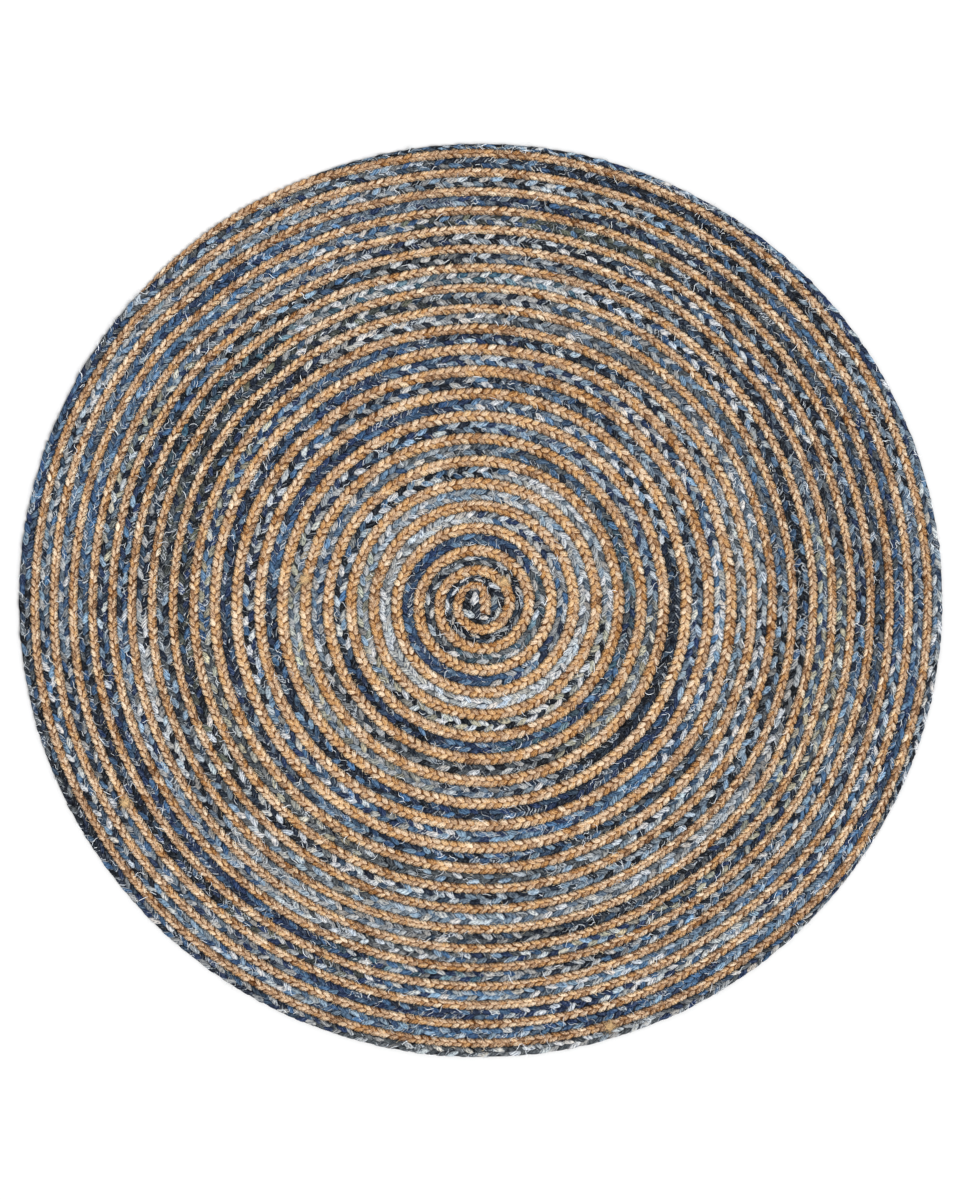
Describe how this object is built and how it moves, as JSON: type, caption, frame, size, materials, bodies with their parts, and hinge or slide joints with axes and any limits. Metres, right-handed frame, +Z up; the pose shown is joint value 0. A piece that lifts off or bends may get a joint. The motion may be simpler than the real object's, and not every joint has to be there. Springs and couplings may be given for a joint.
{
  "type": "round braided jute rug",
  "caption": "Round flat floor rug: a jute braid and a denim rag braid wound side by side from the middle in one coil, sewn together along every seam.",
  "frame": {"origin": "middle of the rug's flat underside", "axes": "+Z up through the rug; +X along its slightly longer width, to the right in the picture; +Y towards the picture's top"},
  "size_m": [1.405, 1.39, 0.01],
  "materials": {
    "jute": "dry, slightly hairy plaited fibre",
    "denim": "plaited strips of worn twill"
  },
  "bodies": {
    "root": {"jute_braid": "jute", "denim_braid": "denim"}
  },
  "joints": []
}
